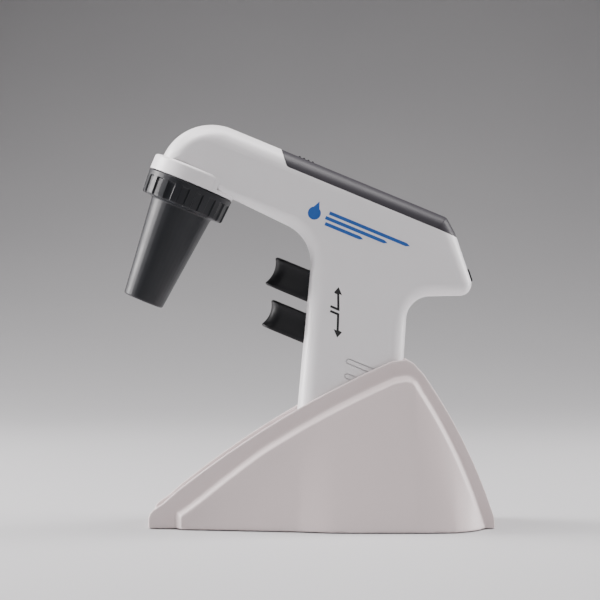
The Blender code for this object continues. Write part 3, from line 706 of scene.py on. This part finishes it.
# ------------------------------------------------------------------ slide switch, inlet, screws
TOOTH = [(0, 33.7), (0.15, 34.2), (0.45, 34.5), (0.95, 34.5), (1.3, 34.2), (1.6, 33.75), (1.95, 33.6)]
TOOTH_FIRST, TOOTH_PITCH, TOOTH_COUNT = 54.1, 2.4, 4
teeth = [(38.5, 29.8), (59.4, 29.8), (59.4, 31.2), (TOOTH_FIRST, 31.2)]
for k in range(TOOTH_COUNT):
    teeth += [(TOOTH_FIRST - TOOTH_PITCH * k - back, v) for back, v in TOOTH]
teeth += [(44.5, 33.7), (44.5, 31.2), (38.5, 31.2)]
thumb = place("speed_thumb_slide", prism("speed_thumb_slide", teeth, -5.0, 5.0))
smooth(finish_edges(thumb, 0.12, 45, 2), 40)
dress(thumb, BLACK, "speed_slider", "black_plastic", "speed_slider")


def bezel_loop(x, shrink):
    y, z = BEZEL_HALF_Y - shrink, BEZEL_HALF_Z - shrink
    return [(x, a, b) for a, b in rounded_box(-y, y, -z, z, 1.3, 6)]


bezel_rows = [(-2.4, 0), (BEZEL_PROUD - 0.35, 0), (BEZEL_PROUD - 0.1, 0.12), (BEZEL_PROUD, 0.4)]
bezel = loft("inlet_bezel", [bezel_loop(x, shrink) for x, shrink in bezel_rows])
bezel = place("inlet_bezel", bezel, HANDSET @ JACK_FRAME)
combine(bezel, [along_x(turned("drill", [(2.3, -6), (2.3, 0.7), (2.9, 1.3), (2.9, 4)], 48))])
smooth(finish_edges(bezel, 0.1, 45, 2))
dress(bezel, BLACK, "handset", "black_plastic", "charging_bezel")

pin = along_x(turned("inlet_pin", [(0.65, -9), (0.65, -1.2), (0.45, -0.8), (0.0001, -0.7)], 24))
pin = place("inlet_pin", pin, HANDSET @ JACK_FRAME)
smooth(pin)
dress(pin, STEEL, "handset", "steel")

for k, (u, v) in enumerate(SCREWS):
    profile = [(1.15, -9.0), (1.15, 15.5), (HEAD_R, 15.5), (HEAD_R, 16.9), (2.3, 17.4), (1.2, 17.6)]
    screw = place("cross_screw_%d" % (k + 1), across(turned("screw", profile, 40), u, v))
    cross = [block("slot", u - a, u + a, 16.5, 19, v - b, v + b) for a, b in ((1.5, 0.3), (0.3, 1.5))]
    combine(screw, cross)
    smooth(finish_edges(screw, 0.06, 45, 1))
    dress(screw, STEEL, "handset", "steel", "shell_screw_%d" % (k + 1))


# ------------------------------------------------------------------ printing on both sides
def printed(name, outlines, side, mat, slot):
    """Thin ink film on the flat side; outlines are in world x, z at rest.

    Each outline after the first lies a little higher, so that two that overlap never share a plane."""
    verts, faces = [], []
    inverse = HANDSET.inverted()
    for pts in outlines:
        ring = [inverse @ Vector((x * MM, 0, z * MM)) / MM for x, z in pts]
        base = len(verts)
        n = len(ring)
        film = 0.025 + 0.008 * base / (2 * n)
        for y in (HALF_WIDTH - 0.3, HALF_WIDTH + film):
            verts += [(p.x, side * y, p.z) for p in ring]
        faces.append(tuple(base + i for i in range(n)))
        faces.append(tuple(base + n + i for i in range(n)))
        faces += [(base + i, base + (i + 1) % n, base + n + (i + 1) % n, base + n + i) for i in range(n)]
    ob = place(name, mesh_from(name, verts, faces))
    dress(ob, mat, "handset", slot)
    return ob


def bent(points, w):
    """Stroke of constant width through points."""
    ps = [Vector(p) for p in points]
    left, right = [], []
    for i, p in enumerate(ps):
        d1 = (p - ps[i - 1]).normalized() if i else (ps[1] - p).normalized()
        d2 = (ps[i + 1] - p).normalized() if i < len(ps) - 1 else d1
        n1, n2 = Vector((-d1.y, d1.x)), Vector((-d2.y, d2.x))
        m = (n1 + n2) / (1 + n1.dot(n2)) * w / 2
        left.append(tuple(p + m))
        right.append(tuple(p - m))
    return left + list(reversed(right))


PRINT_X, ARROW_STROKE = STAND_X0 - 0.3, 1.15


def beside(points):
    return [(x + PRINT_X, z) for x, z in points]


up_stroke = bent(beside([(15.6, 111.9), (19.6, 110.2), (19.5, 118.6)]), ARROW_STROKE)
up_head = beside([(19.75, 121.5), (17.4, 118.9), (18.4, 118.0), (19.8, 118.15), (21.5, 117.3)])
down_stroke = bent(beside([(15.5, 109.5), (19.5, 107.8), (19.2, 99.2)]), ARROW_STROKE)
down_head = beside([(19.0, 96.1), (17.2, 100.4), (19.2, 99.5), (20.0, 99.6), (21.4, 98.7)])
for tag, side in (("left", -1), ("right", 1)):
    printed("print_arrow_up_" + tag, [up_stroke, up_head], side, PRINT_BLACK, "black_plastic")
    printed("print_arrow_down_" + tag, [down_stroke, down_head], side, PRINT_BLACK, "black_plastic")


def in_world(u, v):
    p = HANDSET @ Vector((u * MM, 0, v * MM)) / MM
    return (p.x, p.z)


DROP_MIDDLE, DROP_R = (64.2, 9.8), 3.3
drop = [in_world(64.4, 16.2)]
for k in range(25):
    a = math.radians(62 - 304 * k / 24)
    drop.append(in_world(DROP_MIDDLE[0] + DROP_R * math.cos(a), DROP_MIDDLE[1] + DROP_R * math.sin(a)))
STRIPES = ((12.8, 71.2, 115.0), (9.9, 70.2, 104.0), (7.0, 71.2, 92.0))
STRIPE_HALF, STRIPE_POINT = 0.85, 2.0
stripes = []
for v, u0, u1 in STRIPES:
    low, high, end = v - STRIPE_HALF, v + STRIPE_HALF, u1 - STRIPE_POINT
    stripes.append([in_world(*p) for p in ((u0, low), (end, low), (u1, v), (end, high), (u0, high))])
for tag, side in (("left", -1), ("right", 1)):
    printed("print_drop_mark_" + tag, [drop] + stripes, side, PRINT_BLUE, "cell_wrap")


# ------------------------------------------------------------------ bench stand
def front_z(x):
    return -368.4 + math.sqrt(494.7**2 - (x - 245.7) ** 2)


def back_x(z):
    return -156.5 + math.sqrt(266.5**2 - (z + 74.65) ** 2)


def silhouette(drop):
    """Side outline of the stand's rims, its upper line moved down by drop."""
    low = -4.0
    pts = [(-76.2 + drop, low), (98.0 - drop, low), (98.0 - drop, 0.0)]
    pts += [(back_x(z) - drop, z) for z in range(6, 79, 3)]
    pts += [(58.9 - drop * 0.5, 81.2 - drop), (57.3 - drop * 0.3, 83.1 - drop)]
    pts += [(x, z - drop) for x, z in ((55.4, 84.4), (53.4, 85.0), (51.2, 85.0), (49.0, 84.5))]
    pts += [(x, front_z(x) - drop) for x in range(46, -66, -4)]
    pts += [(-69.0, 12.8 - drop), (-72.2 + drop * 0.2, 10.7 - drop), (-74.4 + drop * 0.4, 9.0 - drop)]
    pts += [(-75.6 + drop * 0.7, 7.4 - drop), (-76.2 + drop, 5.4 - drop * 0.7)]
    return pts


def rib_line():
    """Upper edge of the raised panel's rib, from the front foot over the peak to the rear foot."""
    pts = [(-62.2, -5.0), (-62.2, 4.0)]
    pts += arc(-58.6, 6.5, 3.6, 180, 139, 4)
    xs = [-58 + 3.0 * k for k in range(36)]
    for x in xs:
        sink = 8.6 + 2.4 * max(0.0, min(1.0, (-20.0 - x) / 30.0))
        pts.append((x, front_z(x) - sink))
    pts += [(50.0, 76.45), (52.2, 77.0), (54.4, 76.95), (56.6, 76.3), (58.4, 75.1), (59.8, 73.4)]
    for z in range(70, -1, -3):
        pts.append((back_x(z) - 5.6, z))
    pts += [(91.9, -5.0)]
    return pts


def floor_half(x):
    """Half width of the stand's foot along its length."""
    if x < 0:
        return 26.0 + 10.4 * (x + 62.0) / 62.0
    if x < 20:
        return 36.4 + 4.6 * math.sin(math.pi / 2 * x / 20.0)
    if x < 77:
        return 41.0
    return 41.0 - 7.0 * ((x - 77.0) / 14.8) ** 1.1


def inset_line(line, d):
    """Line moved d towards the panel's middle."""
    out = []
    for i, (x, z) in enumerate(line):
        a, b = Vector(line[max(i - 1, 0)]), Vector(line[min(i + 1, len(line) - 1)])
        t = (b - a).normalized()
        out.append((x + t.y * d, z - t.x * d))
    return out


def side_rows(depth, low, steps=14):
    """Rows of points along the rib: chamfer, panel edge, then the leaning panel down to the floor line."""
    line = rib_line()
    peak = max(range(len(line)), key=lambda i: line[i][1])
    edge = inset_line(line, RIB_WIDTH + depth)
    reach = [0.0]
    for a, b in zip(line, line[1:]):
        reach.append(reach[-1] + math.dist(a, b))
    first, last = edge[0][0], edge[-1][0]
    foot = []
    for i, r in enumerate(reach):
        if i <= peak:
            foot.append(first + (CREASE_X - first) * (r / reach[peak]) ** 0.9)
        else:
            foot.append(CREASE_X + (last - CREASE_X) * (r - reach[peak]) / (reach[-1] - reach[peak]))
    rows = []
    if not depth:
        sunk = 0.35             # the first row starts this share of the chamfer inside the rim
        outer = [(a[0] + (a[0] - b[0]) * sunk, a[1] + (a[1] - b[1]) * sunk) for a, b in zip(line, edge)]
        rows.append([(x, RIM_HALF - (PANEL_EDGE - RIM_HALF) * sunk, max(z, low)) for x, z in outer])
    for j in range(steps + 1):
        t = j / steps
        row = []
        for (ex, ez), fx in zip(edge, foot):
            ez = max(ez, low)
            z = ez + (low - ez) * t
            x = ex + (fx - ex) * t
            wide = floor_half(max(-62.0, min(91.5, x)))
            row.append((x, PANEL_EDGE + (wide - PANEL_EDGE) * t - depth, z))
        rows.append(row)
    return rows


def two_sided(name, rows):
    """Closed solid from the rows and their mirror image."""
    rings = rows + [[(x, -y, z) for x, y, z in row] for row in reversed(rows)]
    columns = []
    for i in range(len(rows[0])):
        columns.append([(ring[i][0] + STAND_X0, ring[i][1], ring[i][2]) for ring in rings])
    return loft(name, columns)


def shift(points):
    return [(x + STAND_X0, z) for x, z in points]


stand = place("stand_wedge", prism("stand_wedge", shift(silhouette(0.0)), -RIM_HALF, RIM_HALF), WORLD)
combine(stand, [two_sided("sides", side_rows(0.0, -5.0))], "UNION")
# the ramp between the rims and the back wall behind them
under = [(x, z) for x, z in silhouette(RIM_DROP) if z > 4.0]
trough = shift([(99, under[0][1] + 2)] + under[1:-1] + [(-90, 4.0), (-90, 120), (99, 120)])
combine(stand, [prism("trough", trough, -CHANNEL_HALF, CHANNEL_HALF)])
hollow = place("hollow", two_sided("hollow", side_rows(SIDE_WALL, -6.0)), WORLD)
keep = [moved(block("keep", -30.5, 30.5, -RIM_HALF - 0.6, RIM_HALF + 0.6, -3.3, 90), GRIP)]
for x, y in STAND_FEET.values():
    pillar = turned("pillar", [(FOOT_PILLAR_R, -8), (FOOT_PILLAR_R, 60)], 32)
    keep.append(moved(pillar, at(x + STAND_X0, y, 0)))
combine(hollow, keep)
hollow_mesh = hollow.data.copy()
bpy.data.objects.remove(hollow)
cuts = [hollow_mesh, block("base", -150, 150, -80, 80, -30, STAND_FLOOR)]
pocket_side = CHANNEL_HALF - 0.15
plan = rounded_box(-POCKET_HALF, POCKET_HALF, -pocket_side, pocket_side, POCKET_FILLET, 8)
cuts.append(moved(loft("pocket", [[(x, y, z) for x, y in plan] for z in (-0.3, 130)]), GRIP))
for x, y in STAND_FEET.values():
    cuts.append(moved(turned("seat", [(FOOT_SEAT_R, -1), (FOOT_SEAT_R, 2.1)], 40), at(x + STAND_X0, y, 0)))
combine(stand, cuts)
# an even mesh, smoothed so that the moulded edges are soft, then thinned out
voxel, rounds, share_kept = ((0.6, 6, 0.16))
mod = stand.modifiers.new("remesh", "REMESH")
mod.mode = "VOXEL"
mod.voxel_size = voxel * MM
mod = stand.modifiers.new("soften", "SMOOTH")
mod.factor = 0.5
mod.iterations = rounds
mod = stand.modifiers.new("thin", "DECIMATE")
mod.ratio = share_kept
settle(stand)
stand.data.shade_smooth()
dress(stand, STAND, "stand", "stand_beige", "stand_shell")

# ------------------------------------------------------------------ carried-over nodes
LOOKS = {
    "nose_seal": RUBBER,
    "membrane_filter": SILICONE,
    "battery_pack": WRAP,
    "battery_contact": BRASS,
    "circuit_board": BOARD,
    "pump_motor": STEEL,
    "motor_rotor": STEEL,
    "pump_head": DARK,
    "pump_cap": BLACK,
    "air_manifold": DARK,
    "air_tube_pump": SILICONE,
    "air_tube_valve": SILICONE,
    "micro_switch_upper": BLACK,
    "micro_switch_lower": BLACK,
    "valve_body_upper": DARK,
    "valve_body_lower": DARK,
    "valve_stem_upper": STEEL,
    "valve_stem_lower": STEEL,
    "speed_slide_base": STEEL,
    "charging_socket": BLACK,
    "spring_upper": STEEL,
    "spring_lower": STEEL,
    "stand_foot_front_near": RUBBER,
    "stand_foot_front_far": RUBBER,
    "stand_foot_rear_near": RUBBER,
    "stand_foot_rear_far": RUBBER,
}
for node, mat in LOOKS.items():
    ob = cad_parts[node]
    ob.data.materials.clear()
    ob.data.materials.append(mat)


# ------------------------------------------------------------------ floor, light, camera
def stage_surface():
    """Floor that sweeps up into a backdrop."""
    bend_y, bend_r, half = 800, 2200, 3000
    rows = [(-2200, 0), (bend_y, 0)]
    for degrees in range(4, 91, 4):
        a = math.radians(degrees)
        rows.append((bend_y + bend_r * math.sin(a), bend_r - bend_r * math.cos(a)))
    rows.append((bend_y + bend_r, 4500))
    verts = [(x, y, z) for y, z in rows for x in (-half, half)]
    faces = [(2 * i, 2 * i + 1, 2 * i + 3, 2 * i + 2) for i in range(len(rows) - 1)]
    return mesh_from("stage_floor", verts, faces)


floor = place("stage_floor", stage_surface(), WORLD)
floor.data.shade_smooth()
mat, nodes, links, bsdf = new_material("stage_paper")
coord = nodes.new("ShaderNodeTexCoord").outputs["Object"]
cloud = noise(nodes, links, coord, 2.5, 2.0)
pale = ramp(nodes, links, cloud, [(0.3, (0.475, 0.475, 0.485)), (0.7, (0.495, 0.495, 0.502))])
links.new(pale, bsdf.inputs["Base Color"])
bsdf.inputs["Roughness"].default_value = 0.7
floor.data.materials.append(mat)

LIGHT_COLOUR = (1.0, 0.972, 0.978)


def area_light(name, location, target, size, power):
    data = bpy.data.lights.new(name, "AREA")
    data.shape = "RECTANGLE"
    data.size, data.size_y = size
    data.energy = power
    data.color = LIGHT_COLOUR
    ob = bpy.data.objects.new(name, data)
    bpy.context.scene.collection.objects.link(ob)
    ob.location = location
    ob.rotation_euler = (Vector(target) - Vector(location)).to_track_quat("-Z", "Y").to_euler()
    return ob


area_light("light_top", (0.0, 0.0, 1.25), (0, 0, 0.12), (1.3, 0.5), 27)
area_light("light_left", (-1.20, 0.24, 0.42), (0, 0, 0.12), (0.5, 1.1), 46)
area_light("light_right", (1.20, 0.30, 0.42), (0, 0, 0.1), (0.3, 1.0), 20)
area_light("light_front", (0.2, -1.9, 0.7), (0, 0, 0.1), (1.2, 0.8), 5.5)
world = bpy.data.worlds.new("studio")
world.use_nodes = True
world.node_tree.nodes["Background"].inputs["Color"].default_value = (0.97, 0.93, 0.95, 1)
world.node_tree.nodes["Background"].inputs["Strength"].default_value = 0.12
bpy.context.scene.world = world

CAMERA_DISTANCE, CAMERA_HEIGHT = 0.95, 0.115
camera = bpy.data.cameras.new("camera")
camera.lens = 111.1
camera.sensor_width = 36.0
camera.clip_start = 0.01
camera_object = bpy.data.objects.new("camera", camera)
bpy.context.scene.collection.objects.link(camera_object)
camera_object.location = (STAND_X0 * MM, -CAMERA_DISTANCE, CAMERA_HEIGHT)
camera_object.rotation_euler = (math.radians(90), 0, 0)
bpy.context.scene.camera = camera_object
